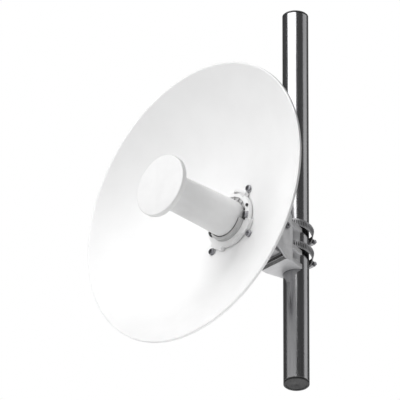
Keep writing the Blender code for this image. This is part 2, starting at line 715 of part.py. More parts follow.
# Worm drive clamps: a band round mast and saddle, its housing behind the mast and its screw
def make_clamps():
    lean = (-BAND_TILT, 0, 0)
    half = BAND_WIDTH / 2
    outer = BAND_RADIUS + BAND_SHEET
    strip = [(BAND_RADIUS, half), (outer, half), (outer, -half), (BAND_RADIUS, -half)]
    width, depth, tall = HOUSING_SIZE
    side = width / 2
    front = outer + GAP
    back = front + depth
    shell = [
        (-side, front),
        (side, front),
        (side, back - HOUSING_CHAMFER),
        (side - HOUSING_CHAMFER, back),
        (-side + HOUSING_CHAMFER, back),
        (-side, back - HOUSING_CHAMFER),
    ]
    tail = side + WORM_TAIL
    head = -side - GAP
    worm = [
        (0, tail),
        (WORM_RADIUS - WORM_ROUND, tail),
        (WORM_RADIUS, tail - WORM_ROUND),
        (WORM_RADIUS, head),
        (WORM_HEAD_RADIUS, head),
        (WORM_HEAD_RADIUS, head - WORM_HEAD_HEIGHT + WORM_ROUND),
        (WORM_HEAD_RADIUS - WORM_ROUND, head - WORM_HEAD_HEIGHT),
        (0, head - WORM_HEAD_HEIGHT),
    ]
    worm_reach = (front + back) / 2
    for level, height in BAND_HEIGHTS.items():
        centre = (0, BAND_CENTRE_Y, AXIS_HEIGHT + height)
        worm_centre = (
            0,
            centre[1] + math.cos(BAND_TILT) * worm_reach,
            centre[2] - math.sin(BAND_TILT) * worm_reach,
        )
        band = turned(f"{level}_clamp_band", strip, BRIGHT_STEEL, closed=True, steps=48)
        placed(band, centre, lean)
        housing = extruded(f"{level}_clamp_housing", [shell], tall, BRIGHT_STEEL)
        placed(housing, centre, lean)
        cut(housing, rod(f"{level}_tunnel", WORM_RADIUS + GAP, width * 2, worm_centre, ALONG_X, sides=20))
        screw = turned(f"{level}_clamp_screw", worm, BRIGHT_STEEL, steps=20)
        placed(screw, worm_centre, ALONG_X)
        carried(SWIVEL_AXIS, band, housing, screw)


make_mast()
make_reflector()
make_screws()
make_hub()
make_feed()
make_radio()
make_tilt_bracket()
make_mast_bracket()
make_tilt_bolts()
make_clamps()
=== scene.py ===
import math
import random

import bmesh
import bpy
from mathutils import Matrix, Vector


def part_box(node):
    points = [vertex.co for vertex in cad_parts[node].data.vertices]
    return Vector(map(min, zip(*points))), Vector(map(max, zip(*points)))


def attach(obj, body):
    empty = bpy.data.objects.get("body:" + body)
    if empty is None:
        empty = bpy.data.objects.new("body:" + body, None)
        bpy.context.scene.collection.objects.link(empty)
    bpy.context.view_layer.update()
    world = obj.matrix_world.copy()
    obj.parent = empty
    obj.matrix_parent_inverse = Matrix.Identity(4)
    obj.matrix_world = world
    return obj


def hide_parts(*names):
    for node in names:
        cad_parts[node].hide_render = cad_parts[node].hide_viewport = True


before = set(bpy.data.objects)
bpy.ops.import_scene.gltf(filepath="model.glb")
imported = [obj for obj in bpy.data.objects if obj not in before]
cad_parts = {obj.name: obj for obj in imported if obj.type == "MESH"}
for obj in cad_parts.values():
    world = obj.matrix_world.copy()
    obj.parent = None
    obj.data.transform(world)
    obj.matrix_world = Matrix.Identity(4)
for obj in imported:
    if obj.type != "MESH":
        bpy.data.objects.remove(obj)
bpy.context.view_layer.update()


# The mast is a 1 1/4 inch steel pipe, drawn and polished, cut square with its edges broken.
# It stands upright, and everything else hangs on it.
PIPE_LOW, PIPE_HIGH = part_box("mast_tube")
PIPE_RADIUS = PIPE_HIGH.x
PIPE_WALL = 0.0026
PIPE_EDGE = 0.0005
MAST_AXIS = Matrix.Identity(4)
SAME_POINT = 0.000002
TINT_FROM, TINT_TO = 0.35, 0.65
GLOSS_FROM, GLOSS_TO = 0.3, 0.7


def turned(points, place, steps=96, closed=False):
    """A solid of (radius, height) points turned about local Z, then put in its place."""
    shape = bmesh.new()
    ring = [shape.verts.new((radius, 0, height)) for radius, height in points]
    pairs = list(zip(ring, ring[1:]))
    if closed:
        pairs.append((ring[-1], ring[0]))
    line = [shape.edges.new(pair) for pair in pairs]
    bmesh.ops.spin(
        shape, geom=ring + line, cent=(0, 0, 0), axis=(0, 0, 1), angle=math.tau, steps=steps,
        use_merge=True,
    )
    bmesh.ops.remove_doubles(shape, verts=shape.verts, dist=SAME_POINT)
    return put(shape, place)


def put(shape, place):
    """Moves a shape to its place and points its faces outwards."""
    bmesh.ops.transform(shape, matrix=place, verts=shape.verts)
    bmesh.ops.recalc_face_normals(shape, faces=shape.faces)
    return shape


def fitted(name, shapes, material, body, nodes=(), smooth=35):
    """Joins shapes into one piece, smooth but for its sharp edges, and carries it on its body."""
    whole = bmesh.new()
    for shape in shapes if isinstance(shapes, list) else [shapes]:
        part = bpy.data.meshes.new(name + "_part")
        shape.to_mesh(part)
        shape.free()
        whole.from_mesh(part)
        bpy.data.meshes.remove(part)
    mesh = bpy.data.meshes.new(name)
    whole.to_mesh(mesh)
    whole.free()
    mesh.shade_smooth()
    mesh.set_sharp_from_angle(angle=math.radians(smooth))
    mesh.materials.append(material)
    piece = bpy.data.objects.new(name, mesh)
    bpy.context.scene.collection.objects.link(piece)
    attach(piece, body)
    if nodes:
        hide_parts(*nodes)
    return piece


def blank(name, roughness, metallic=0.0):
    """A Principled material, to which the lines that follow it give colour, gloss and grain."""
    look = bpy.data.materials.new(name)
    look.use_nodes = True
    shader = look.node_tree.nodes["Principled BSDF"]
    shader.inputs["Metallic"].default_value = metallic
    shader.inputs["Roughness"].default_value = roughness
    return look


def grain(look, size, stretch=(1, 1, 1), detail=3.0):
    """Noise on the piece's own coordinates, with lumps of that size in metres."""
    tree = look.node_tree
    where = tree.nodes.new("ShaderNodeTexCoord")
    drawn = tree.nodes.new("ShaderNodeMapping")
    drawn.inputs["Scale"].default_value = stretch
    noise = tree.nodes.new("ShaderNodeTexNoise")
    noise.inputs["Scale"].default_value = 1 / size
    noise.inputs["Detail"].default_value = detail
    tree.links.new(where.outputs["Object"], drawn.inputs["Vector"])
    tree.links.new(drawn.outputs["Vector"], noise.inputs["Vector"])
    return noise.outputs["Fac"]


def tint(look, value, dark, light):
    """Colours from dark to light as the value goes through its middle range."""
    tree = look.node_tree
    ramp = tree.nodes.new("ShaderNodeValToRGB")
    stops = ramp.color_ramp.elements
    for stop, place, colour in ((stops[0], TINT_FROM, dark), (stops[1], TINT_TO, light)):
        stop.position = place
        stop.color = (*colour, 1)
    tree.links.new(value, ramp.inputs["Fac"])
    tree.links.new(ramp.outputs["Color"], tree.nodes["Principled BSDF"].inputs["Base Color"])


def gloss(look, value, low, high):
    """Lets the roughness wander between two values."""
    tree = look.node_tree
    spread = tree.nodes.new("ShaderNodeMapRange")
    limits = {"From Min": GLOSS_FROM, "From Max": GLOSS_TO, "To Min": low, "To Max": high}
    for name, number in limits.items():
        spread.inputs[name].default_value = number
    tree.links.new(value, spread.inputs["Value"])
    tree.links.new(spread.outputs["Result"], tree.nodes["Principled BSDF"].inputs["Roughness"])


def relief(look, value, depth, strength=0.5):
    """Raises and lowers the surface by the value, depth in metres."""
    tree = look.node_tree
    shader = tree.nodes["Principled BSDF"]
    bump = tree.nodes.new("ShaderNodeBump")
    bump.inputs["Distance"].default_value = depth
    bump.inputs["Strength"].default_value = strength
    if shader.inputs["Normal"].is_linked:
        tree.links.new(shader.inputs["Normal"].links[0].from_socket, bump.inputs["Normal"])
    tree.links.new(value, bump.inputs["Height"])
    tree.links.new(bump.outputs["Normal"], shader.inputs["Normal"])


drawn_steel = blank("drawn_steel", 0.2, metallic=1.0)
streaks = grain(drawn_steel, 0.006, stretch=(1, 1, 0.04))
tint(drawn_steel, streaks, (0.36, 0.36, 0.37), (0.43, 0.43, 0.44))
gloss(drawn_steel, grain(drawn_steel, 0.0012, stretch=(1, 1, 0.02), detail=5.0), 0.15, 0.25)
relief(drawn_steel, grain(drawn_steel, 0.0005, stretch=(1, 1, 0.01)), 0.00001, 0.25)

pipe_outline = [
    (PIPE_RADIUS - PIPE_WALL, PIPE_HIGH.z),
    (PIPE_RADIUS - PIPE_EDGE, PIPE_HIGH.z),
    (PIPE_RADIUS, PIPE_HIGH.z - PIPE_EDGE),
    (PIPE_RADIUS, PIPE_LOW.z + PIPE_EDGE),
    (PIPE_RADIUS - PIPE_EDGE, PIPE_LOW.z),
    (PIPE_RADIUS - PIPE_WALL, PIPE_LOW.z),
]
pipe = turned(pipe_outline, MAST_AXIS, closed=True)
fitted("mast_pipe", pipe, drawn_steel, "mast", ["mast_tube"])


# Two black moulded plugs close the pipe, each a spigot with a head as wide as the pipe.
# The head has a shallow dish in its face and the dimple of the mould's gate at its middle.
PLUG_GAP = 0.0003
PLUG_HEAD = PIPE_LOW.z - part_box("mast_foot_plug")[0].z - PLUG_GAP
PLUG_SPIGOT = 0.0165
PLUG_DISH = 0.0008
PLUG_DISH_EDGE = 0.0045
PLUG_RIM = 0.0035
PLUG_EDGE = 0.0006
PLUG_WALL = 0.0015
PLUG_FLOOR = 0.001
GATE_RADIUS = 0.0014
GATE_DEPTH = 0.0014

moulded_black = blank("moulded_black", 0.5)
tint(moulded_black, grain(moulded_black, 0.01), (0.016, 0.016, 0.017), (0.028, 0.028, 0.029))
gloss(moulded_black, grain(moulded_black, 0.004), 0.4, 0.55)
relief(moulded_black, grain(moulded_black, 0.0004), 0.00004, 0.35)


def plug_outline(face, inwards):
    """The plug's outline from its face at the mast's end, heights running into the pipe."""
    spigot = PIPE_RADIUS - PIPE_WALL - PLUG_GAP
    points = [
        (0, GATE_DEPTH),
        (GATE_RADIUS, PLUG_DISH),
        (PIPE_RADIUS - PLUG_DISH_EDGE, PLUG_DISH),
        (PIPE_RADIUS - PLUG_RIM, 0),
        (PIPE_RADIUS - PLUG_EDGE, 0),
        (PIPE_RADIUS, PLUG_EDGE),
        (PIPE_RADIUS, PLUG_HEAD),
        (spigot, PLUG_HEAD),
        (spigot, PLUG_HEAD + PLUG_SPIGOT),
        (spigot - PLUG_WALL, PLUG_HEAD + PLUG_SPIGOT),
        (spigot - PLUG_WALL, PLUG_HEAD + PLUG_FLOOR),
        (0, PLUG_HEAD + PLUG_FLOOR),
    ]
    return [(radius, face + inwards * height) for radius, height in points]


foot = turned(plug_outline(0, 1), MAST_AXIS)
fitted("foot_plug", foot, moulded_black, "mast", ["mast_foot_plug"])
top = turned(plug_outline(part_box("mast_top_cap")[1].z, -1), MAST_AXIS)
fitted("top_plug", top, moulded_black, "mast", ["mast_top_cap"])


# The mast bracket is one aluminium die casting: a saddle with three jaws against the mast, and
# two cheeks that carry the tilt bolts. Its edges are rounded by the die and by tumbling.
CAST_ROUND = 0.0006
SOLID_SAME_POINT = 0.00003

die_cast = blank("die_cast", 0.45, metallic=0.3)
tint(die_cast, grain(die_cast, 0.009, detail=5.0), (0.70, 0.70, 0.71), (0.77, 0.77, 0.78))
gloss(die_cast, grain(die_cast, 0.003), 0.38, 0.5)
relief(die_cast, grain(die_cast, 0.0011), 0.00008, 0.35)
relief(die_cast, grain(die_cast, 0.012), 0.0004, 0.12)


def rounded_copy(node, width, sharp=28, flat=1.0):
    """A merged copy of a solid with its sharp edges rounded, angles in degrees."""
    shape = bmesh.new()
    shape.from_mesh(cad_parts[node].data)
    bmesh.ops.remove_doubles(shape, verts=shape.verts, dist=SOLID_SAME_POINT)
    bmesh.ops.dissolve_limit(
        shape, angle_limit=math.radians(flat), verts=shape.verts, edges=shape.edges,
        delimit={"NORMAL"},
    )
    bend = math.radians(sharp)
    edges = [edge for edge in shape.edges if edge.is_manifold and edge.calc_face_angle() > bend]
    bmesh.ops.bevel(
        shape, geom=edges, offset=width, offset_type="OFFSET", affect="EDGES", segments=2,
        profile=0.5, material=-1, clamp_overlap=True,
    )
    return shape


bracket = rounded_copy("mast_bracket", CAST_ROUND)
fitted("bracket_casting", bracket, die_cast, "swivel", ["mast_bracket"])


# Two strips of painted shade lie along the front of the bracket's lip, a grey one below and a
# near-black one above it, dark where that face lies in the dish's shadow. They are extruded bars
# with rounded edges.
HUB_Z = (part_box("feed_cap")[0].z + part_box("feed_cap")[1].z) / 2
AT_HUB_HEIGHT = Matrix.Translation((0, 0, HUB_Z))
LIP_STRIP_END = 0.0273
LIP_STRIP_FRONT_Y = -0.0508
LIP_STRIP_BACK_Y = -0.0495
LIP_STRIP_ROUND = 0.0003
LOWER_STRIP = (-0.0417, -0.0354)
UPPER_STRIP = (-0.0332, -0.0290)

# Painted shade: near-black colour for the upper strip on the lip's shadowed front.
painted_shade_black = blank("painted_shade_black", 0.6)
tint(painted_shade_black, grain(painted_shade_black, 0.004), (0.055, 0.055, 0.056), (0.085, 0.085, 0.086))
gloss(painted_shade_black, grain(painted_shade_black, 0.001), 0.5, 0.65)
relief(painted_shade_black, grain(painted_shade_black, 0.0005), 0.00003, 0.4)

# Painted shade: dark grey colour for the lower strip on the lip's shadowed front.
painted_shade_grey = blank("painted_shade_grey", 0.6)
tint(painted_shade_grey, grain(painted_shade_grey, 0.004), (0.21, 0.21, 0.21), (0.29, 0.29, 0.29))
gloss(painted_shade_grey, grain(painted_shade_grey, 0.001), 0.5, 0.65)
relief(painted_shade_grey, grain(painted_shade_grey, 0.0005), 0.00003, 0.4)


def bar(low, high, place, round_off=0.0):
    """A straight bar between two corners, with rounded edges where asked."""
    shape = bmesh.new()
    bmesh.ops.create_cube(shape, size=1)
    sides = Vector(high) - Vector(low)
    bmesh.ops.scale(shape, vec=sides, verts=shape.verts)
    bmesh.ops.translate(shape, vec=(Vector(low) + Vector(high)) / 2, verts=shape.verts)
    if round_off:
        bmesh.ops.bevel(
            shape, geom=list(shape.edges), offset=round_off, offset_type="OFFSET", affect="EDGES",
            segments=2, profile=0.5, material=-1,
        )
    return put(shape, place)


for name, (low_z, high_z), finish in (
    ("lower_shade_strip", LOWER_STRIP, painted_shade_grey),
    ("upper_shade_strip", UPPER_STRIP, painted_shade_black),
):
    low = (-LIP_STRIP_END, LIP_STRIP_FRONT_Y, low_z)
    high = (LIP_STRIP_END, LIP_STRIP_BACK_Y, high_z)
    fitted(name, bar(low, high, AT_HUB_HEIGHT, LIP_STRIP_ROUND), finish, "swivel")


# Two worm drive clamps hold the bracket to the mast. Each is a strip of stainless steel with slots
# pressed through it, closed into a loop that sags a little behind the mast. Just inside the strip
# lies a near-black sheet, painted shade that shows through the slots.
STRIP_SHEET = 0.0008
STRIP_HALF = 0.0070
SLOT_PITCH = 0.00305
SLOT_HALF_LENGTH = 0.0042
SLOT_HALF_WIDTH = 0.00075
SLOT_SLANT = 0.0005
STRIP_SAME_POINT = 0.00001
SHADE_SHEET_EDGE = 0.0003
BAND_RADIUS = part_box("upper_clamp_band")[1].x - STRIP_SHEET
BAND_TILT = math.radians(14)

stainless = blank("stainless", 0.45, metallic=0.5)
tint(stainless, grain(stainless, 0.005), (0.38, 0.38, 0.39), (0.48, 0.48, 0.49))
gloss(stainless, grain(stainless, 0.0009, stretch=(1, 1, 6)), 0.38, 0.5)
relief(stainless, grain(stainless, 0.0003, stretch=(1, 1, 8)), 0.00001, 0.3)

# Painted shade: the near-black colour of the sheet seen through the clamp slots.
slot_painted_shade = blank("slot_painted_shade", 0.5, metallic=0.5)
tint(slot_painted_shade, grain(slot_painted_shade, 0.004), (0.05, 0.05, 0.05), (0.08, 0.08, 0.08))
gloss(slot_painted_shade, grain(slot_painted_shade, 0.001), 0.45, 0.6)
relief(slot_painted_shade, grain(slot_painted_shade, 0.0004), 0.00001, 0.3)


def plate(outline, holes, low, high, place):
    """A flat solid between two heights: an outline, and holes as (points, floor height)."""
    shape = bmesh.new()
    upper, lower = [], []
    for points, floor in [(outline, low), *holes]:
        loop = [shape.verts.new((across, up, high)) for across, up in points]
        rim = [shape.edges.new(pair) for pair in zip(loop, loop[1:] + loop[:1])]
        upper += rim
        drop = bmesh.ops.extrude_edge_only(shape, edges=rim)["geom"]
        foot = [part for part in drop if isinstance(part, bmesh.types.BMVert)]
        bmesh.ops.translate(shape, vec=(0, 0, floor - high), verts=foot)
        edge = [
            part
            for part in drop
            if isinstance(part, bmesh.types.BMEdge) and set(part.verts) <= set(foot)
        ]
        if floor > low:
            bmesh.ops.triangle_fill(shape, edges=edge, use_beauty=True)
        else:
            lower += edge
    bmesh.ops.triangle_fill(shape, edges=upper, use_beauty=True)
    bmesh.ops.triangle_fill(shape, edges=lower, use_beauty=True)
    return put(shape, place)


def arc(radius, start, end, count, centre=(0, 0)):
    """Points on an arc, both ends included, angles in degrees."""
    points = []
    for index in range(count):
        turn = math.radians(start + (end - start) * index / (count - 1))
        points.append((centre[0] + radius * math.cos(turn), centre[1] + radius * math.sin(turn)))
    return points


def slotted_strip(radius, place):
    """A slotted strip as long as the loop, rolled into a closed band about local Z."""
    count = round(math.tau * radius / SLOT_PITCH)
    pitch = math.tau * radius / count
    end = SLOT_HALF_LENGTH - SLOT_HALF_WIDTH
    slot = arc(SLOT_HALF_WIDTH, 0, 180, 4, (pitch / 2 + SLOT_SLANT, end))
    slot += arc(SLOT_HALF_WIDTH, 180, 360, 4, (pitch / 2 - SLOT_SLANT, -end))
    shape = bmesh.new()
    corners = [(0, -STRIP_HALF), (pitch, -STRIP_HALF), (pitch, STRIP_HALF), (0, STRIP_HALF)]
    edges = []
    for points in (corners, slot):
        loop = [shape.verts.new((along, up, 0)) for along, up in points]
        edges += [shape.edges.new(pair) for pair in zip(loop, loop[1:] + loop[:1])]
    bmesh.ops.triangle_fill(shape, edges=edges, use_beauty=True)
    cell = list(shape.verts) + list(shape.edges) + list(shape.faces)
    for number in range(1, count):
        copy = bmesh.ops.duplicate(shape, geom=cell)["geom"]
        moved = [part for part in copy if isinstance(part, bmesh.types.BMVert)]
        bmesh.ops.translate(shape, vec=(pitch * number, 0, 0), verts=moved)
    bmesh.ops.remove_doubles(shape, verts=shape.verts, dist=STRIP_SAME_POINT)
    wall = bmesh.ops.extrude_face_region(shape, geom=list(shape.faces), use_keep_orig=True)["geom"]
    outer = [part for part in wall if isinstance(part, bmesh.types.BMVert)]
    bmesh.ops.translate(shape, vec=(0, 0, STRIP_SHEET), verts=outer)
    for corner in shape.verts:
        turn = corner.co.x / radius
        reach = radius - STRIP_SHEET / 2 + corner.co.z
        corner.co = (reach * math.sin(turn), reach * math.cos(turn), corner.co.y)
    bmesh.ops.remove_doubles(shape, verts=shape.verts, dist=STRIP_SAME_POINT)
    return put(shape, place)


def band_place(level):
    """Where a clamp's loop sits: its middle, leaning down at the back."""
    low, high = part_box(f"{level}_clamp_band")
    middle = (low + high) / 2
    return Matrix.Translation(middle) @ Matrix.Rotation(-BAND_TILT, 4, "X")


shade_sheet_inner = BAND_RADIUS - STRIP_SHEET
shade_sheet_outer = BAND_RADIUS - STRIP_SHEET / 4
shade_sheet_half = STRIP_HALF - SHADE_SHEET_EDGE
shade_sheet_outline = [
    (shade_sheet_inner, -shade_sheet_half),
    (shade_sheet_outer, -shade_sheet_half),
    (shade_sheet_outer, shade_sheet_half),
    (shade_sheet_inner, shade_sheet_half),
]
for level in ("upper", "lower"):
    strip = slotted_strip(BAND_RADIUS, band_place(level))
    fitted(f"{level}_band", strip, stainless, "swivel", [f"{level}_clamp_band"])
    # A near-black sheet of painted shade inside each loop, seen through the slots.
    shade_sheet = turned(shade_sheet_outline, band_place(level), closed=True)
    fitted(f"{level}_band_shade_sheet", shade_sheet, slot_painted_shade, "swivel")


# Each clamp is closed by a pressed steel housing, whose feet stand on the strip behind the mast,
# and by a worm screw with a slotted hexagon head, which runs through the housing's arch.
HOUSING_LENGTH = 0.017
HOUSING_SHEET = 0.0009
HOUSING_ARCH = 0.0043
HOUSING_FOOT = 0.0080
ARCH_FOOT_OUT = 0.0006
ARCH_FOOT_IN = 0.0004
WORM_RADIUS = 0.0032
WORM_ROOT = 0.0024
WORM_PITCH = 0.0016
WORM_TAIL = 0.0040
WORM_TIP = 0.0002
THREAD = ((WORM_RADIUS, 0.35), (WORM_RADIUS, 0.5), (WORM_ROOT, 0.85), (WORM_ROOT, 1))
WORM_REACH = 0.0331
END_GAP = 0.0003
END_RADIUS = 0.0049
END_THICK = 0.0010
HEX_RADIUS = 0.0045
HEX_HEIGHT = 0.0048
HEX_BACK = 0.0008
HEX_TURN = 20
DRIVE_HALF_WIDTH = 0.0006
DRIVE_HALF_LENGTH = HEX_RADIUS * 0.8
DRIVE_DEPTH = 0.0016

worm_steel = blank("worm_steel", 0.3, metallic=1.0)
tint(worm_steel, grain(worm_steel, 0.003), (0.30, 0.30, 0.32), (0.42, 0.42, 0.44))
gloss(worm_steel, grain(worm_steel, 0.001), 0.22, 0.38)
relief(worm_steel, grain(worm_steel, 0.0004), 0.00002, 0.4)


def housing_shell(place):
    """The bridge: feet on the strip, an arch over the worm, pressed from one sheet."""
    seat = BAND_RADIUS + STRIP_SHEET / 2
    top = seat + HOUSING_SHEET
    outside = [(-HOUSING_FOOT, seat), (-HOUSING_FOOT, top), (-HOUSING_ARCH - ARCH_FOOT_OUT, top)]
    outside += arc(HOUSING_ARCH, 170, 10, 15, (0, WORM_REACH))
    outside += [(HOUSING_ARCH + ARCH_FOOT_OUT, top), (HOUSING_FOOT, top), (HOUSING_FOOT, seat)]
    inside = [(HOUSING_ARCH - ARCH_FOOT_IN, seat)]
    inside += arc(HOUSING_ARCH - HOUSING_SHEET, 8, 172, 15, (0, WORM_REACH))
    inside += [(-HOUSING_ARCH + ARCH_FOOT_IN, seat)]
    lengthways = Matrix(((0, 0, 1, 0), (0, 1, 0, 0), (1, 0, 0, 0), (0, 0, 0, 1)))
    half = HOUSING_LENGTH / 2
    return plate(outside + inside, [], -half, half, place @ lengthways)


def worm_screw(place):
    """The worm: rings of thread, an end disc, and a hexagon head with a driver slot."""
    half = HOUSING_LENGTH / 2
    points = [(0, half + WORM_TAIL), (WORM_ROOT, half + WORM_TAIL)]
    height = half + WORM_TAIL - WORM_TIP
    while height - WORM_PITCH > -half:
        points += [(radius, height - WORM_PITCH * share) for radius, share in THREAD]
        height -= WORM_PITCH
    near, far = -half - END_GAP, -half - END_THICK
    points += [(WORM_ROOT, near), (END_RADIUS, near), (END_RADIUS, far), (0, far)]
    thread = turned(points, place @ Matrix.Rotation(math.radians(90), 4, "Y"), steps=32)
    hexagon = arc(HEX_RADIUS, 0, 300, 6)
    slot = [(-DRIVE_HALF_LENGTH, -DRIVE_HALF_WIDTH), (DRIVE_HALF_LENGTH, -DRIVE_HALF_WIDTH)]
    slot += [(DRIVE_HALF_LENGTH, DRIVE_HALF_WIDTH), (-DRIVE_HALF_LENGTH, DRIVE_HALF_WIDTH)]
    top = half + END_GAP + HEX_HEIGHT
    turn = place @ Matrix.Rotation(math.radians(-90), 4, "Y")
    turn @= Matrix.Rotation(math.radians(HEX_TURN), 4, "Z")
    head = plate(hexagon, [(slot, top - DRIVE_DEPTH)], half + HEX_BACK, top, turn)
    return [thread, head]


for level in ("upper", "lower"):
    place = band_place(level)
    shell = housing_shell(place)
    nodes = [f"{level}_clamp_housing"]
    fitted(f"{level}_housing", shell, stainless, "swivel", nodes, smooth=50)
    screw = worm_screw(place @ Matrix.Translation((0, WORM_REACH, 0)))
    fitted(f"{level}_worm", screw, worm_steel, "swivel", [f"{level}_clamp_screw"])


# The tilt bracket is a second die casting: a round plate with four pads that the reflector is
# screwed to, a yoke that clears the radio, and two ears that turn on the pivot bolt. A flat tie
# with two drain holes joins the ears and runs back under them, towards the mast bracket's lip.
TIE_HALF = 0.0163
TIE_FRONT_Y = -0.0690
TIE_BACK_Y = -0.0535
TIE_LOW = -0.0270
TIE_HIGH = -0.0231
TIE_CORNER = 0.0012
TIE_HOLES = ((-0.0085, -0.0595), (0.0045, -0.0625))
TIE_HOLE = 0.0021

tilt = rounded_copy("tilt_bracket", CAST_ROUND)
corner = TIE_HALF - TIE_CORNER
tie_outline = [(-TIE_HALF, TIE_FRONT_Y), (TIE_HALF, TIE_FRONT_Y)]
tie_outline += arc(TIE_CORNER, 0, 90, 5, (corner, TIE_BACK_Y - TIE_CORNER))
tie_outline += arc(TIE_CORNER, 90, 180, 5, (-corner, TIE_BACK_Y - TIE_CORNER))
tie_holes = [(arc(TIE_HOLE, 0, 345, 24, spot), TIE_LOW) for spot in TIE_HOLES]
tie = plate(tie_outline, tie_holes, TIE_LOW, TIE_HIGH, AT_HUB_HEIGHT)
fitted("tilt_casting", [tilt, tie], die_cast, "dish", ["tilt_bracket"])


# Two M6 bolts go through cheeks and ears, the pivot above and the lock in its curved slot below.
# Both have a round head with a hexagon socket on the right and a chamfered nut on the left.
SOCKET_RADIUS = 0.0025
SOCKET_DEPTH = 0.0022
BOLT_HEAD = 0.0035
BOLT_ROUND = 0.0007
SHANK_RADIUS = 0.003
SHANK_TIP = 0.0006
BOLT_END_RADIUS = 0.0025
HEAD_RIM_SHARE = 0.98
NUT_RADIUS = 0.00575
NUT_BORE = 0.0031
NUT_CHAMFER = 0.0005
NUT_CORNER_BEND = 0.9
NUT_CORNER_SHARE = 0.8
SAME_LEVEL = 0.00001

dark_zinc = blank("dark_zinc", 0.35, metallic=1.0)
tint(dark_zinc, grain(dark_zinc, 0.004), (0.20, 0.20, 0.21), (0.30, 0.30, 0.31))
gloss(dark_zinc, grain(dark_zinc, 0.0015), 0.28, 0.42)
relief(dark_zinc, grain(dark_zinc, 0.0005), 0.00002, 0.4)


def socket_head(radius, low, high, round_off, socket, depth, place):
    """A round screw head with a rounded rim and a hexagon socket sunk in it."""
    hole = (arc(socket, 0, 300, 6), high - depth)
    head = plate(arc(radius, 0, 352.5, 48), [hole], low, high, Matrix.Identity(4))
    rim = [
        edge
        for edge in head.edges
        if all(abs(v.co.z - high) < SAME_LEVEL for v in edge.verts)
        and all(v.co.xy.length > radius * HEAD_RIM_SHARE for v in edge.verts)
    ]
    bmesh.ops.bevel(
        head, geom=rim, offset=round_off, offset_type="OFFSET", affect="EDGES", segments=3,
        profile=0.5, material=-1,
    )
    return put(head, place)


def hex_nut(radius, bore, low, high, place):
    """A hexagon nut with its corners taken off by a cone at both faces."""
    hole = (arc(bore, 0, 345, 24), low)
    nut = plate(arc(radius, 0, 300, 6), [hole], low, high, Matrix.Identity(4))
    outside = [
        edge
        for edge in nut.edges
        if edge.is_manifold
        and edge.calc_face_angle() > NUT_CORNER_BEND
        and all(v.co.xy.length > radius * NUT_CORNER_SHARE for v in edge.verts)
        and abs(edge.verts[0].co.z - edge.verts[1].co.z) < SAME_LEVEL
    ]
    bmesh.ops.bevel(
        nut, geom=outside, offset=NUT_CHAMFER, offset_type="OFFSET", affect="EDGES", segments=2,
        profile=0.5, material=-1,
    )
    return put(nut, place)


for name, nut_name in (("pivot_bolt", "pivot_nut"), ("tilt_lock_bolt", "tilt_lock_nut")):
    low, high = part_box(name)
    nut_low, nut_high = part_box(nut_name)
    middle = (low + high) / 2
    across = Matrix.Translation((0, middle.y, middle.z))
    across @= Matrix.Rotation(math.radians(90), 4, "Y")
    seat = high.x - BOLT_HEAD
    radius = (high.y - low.y) / 2
    head = socket_head(radius, seat, high.x, BOLT_ROUND, SOCKET_RADIUS, SOCKET_DEPTH, across)
    shank_outline = [(0, low.x), (BOLT_END_RADIUS, low.x), (SHANK_RADIUS, low.x + SHANK_TIP)]
    shank_outline += [(SHANK_RADIUS, seat), (0, seat)]
    shank = turned(shank_outline, across, steps=32)
    fitted(f"{name}_m6", [head, shank], dark_zinc, "swivel", [name])
    nut = hex_nut(NUT_RADIUS, NUT_BORE, nut_low.x, nut_high.x, across)
    fitted(f"{nut_name}_m6", nut, dark_zinc, "swivel", [nut_name])


# The reflector is a spun aluminium bowl, rolled over at its edge and powder coated white. Its
# middle is pierced for the feed, and four screws hold it to the pads of the tilt bracket.
BOTTOM_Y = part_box("feed_tube")[1].y
DISH_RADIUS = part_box("dish_reflector")[1].x
DISH_FOCUS = 0.1545
DISH_SHEET = 0.0015
DISH_HOLE = 0.0345
DISH_LIP = 0.0035
EDGE_RISE = 0.0006
EDGE_ROUND = 0.0008
DISH_SKIRT = 0.0045
DISH_BANDS = 48
FORWARDS = Matrix.Rotation(math.radians(90), 4, "X")
FACING = Matrix.Translation((0, BOTTOM_Y, HUB_Z)) @ FORWARDS

powder_white = blank("powder_white", 0.42)
tint(powder_white, grain(powder_white, 0.05), (0.87, 0.87, 0.87), (0.89, 0.89, 0.89))
gloss(powder_white, grain(powder_white, 0.02), 0.38, 0.48)
relief(powder_white, grain(powder_white, 0.0022, detail=2.0), 0.00004, 0.25)


def bowl(radius):
    """The height of the bowl's paraboloid over its bottom at that radius."""
    return radius * radius / (4 * DISH_FOCUS)


edge_radius = DISH_RADIUS - DISH_LIP
width = edge_radius - DISH_HOLE
radii = [DISH_HOLE + width * index / DISH_BANDS for index in range(DISH_BANDS + 1)]
lip = bowl(edge_radius) + EDGE_RISE
front = [(radius, bowl(radius)) for radius in radii]
rolled = [(edge_radius + EDGE_ROUND, lip)]
rolled += arc(EDGE_ROUND, 90, 0, 5, (DISH_RADIUS - EDGE_ROUND, lip - EDGE_ROUND))
skirt_end = (DISH_RADIUS - DISH_SHEET / 2, lip - DISH_SKIRT + DISH_SHEET / 2)
rolled += arc(DISH_SHEET / 2, 0, -180, 7, skirt_end)
inner_bend = (DISH_RADIUS - DISH_SHEET - EDGE_ROUND, lip - DISH_SHEET - EDGE_ROUND)
rolled += arc(EDGE_ROUND, 0, 90, 4, inner_bend)
back = []
for radius in radii[::-1]:
    lean = math.atan(radius / (2 * DISH_FOCUS))
    back.append((radius + DISH_SHEET * math.sin(lean), bowl(radius) - DISH_SHEET * math.cos(lean)))
back[0] = (edge_radius + EDGE_ROUND / 2, bowl(edge_radius) - DISH_SHEET)
back[-1] = (DISH_HOLE, back[-1][1])
reflector = turned(front + rolled + back, FACING, steps=192, closed=True)
nodes = ["dish_reflector"]
fitted("reflector_bowl", reflector, powder_white, "dish", nodes, smooth=50)


